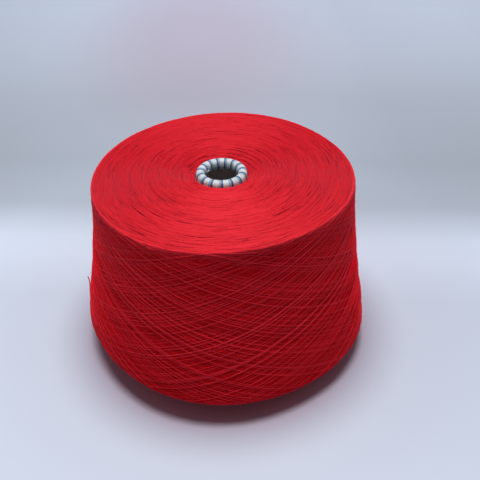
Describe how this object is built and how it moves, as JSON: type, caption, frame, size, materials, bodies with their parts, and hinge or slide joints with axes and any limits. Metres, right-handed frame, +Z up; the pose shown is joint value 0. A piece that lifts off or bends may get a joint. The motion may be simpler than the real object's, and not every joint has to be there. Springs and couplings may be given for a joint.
{
  "type": "cone of wool yarn",
  "caption": "Cone of red wool yarn, cross-wound on a tapered paper cone with a rolled nose, to feed knitting or weaving.",
  "frame": {"origin": "centre of the paper cone's base ring, on the cone's axis, at the height of the surface it stands on", "axes": "+Z up along the cone's axis towards its nose, -Y towards the side seen in the picture, +X to the right there"},
  "size_m": [0.2551, 0.2538, 0.17],
  "materials": {
    "wool": "matt spun wool, softly hairy, in fine crossing turns",
    "paper": "smooth off-white paper with narrow blue stripes, a little soiled"
  },
  "bodies": {
    "root": {"yarn_package": "wool", "paper_cone": "paper", "loose_end": "wool"}
  },
  "joints": []
}
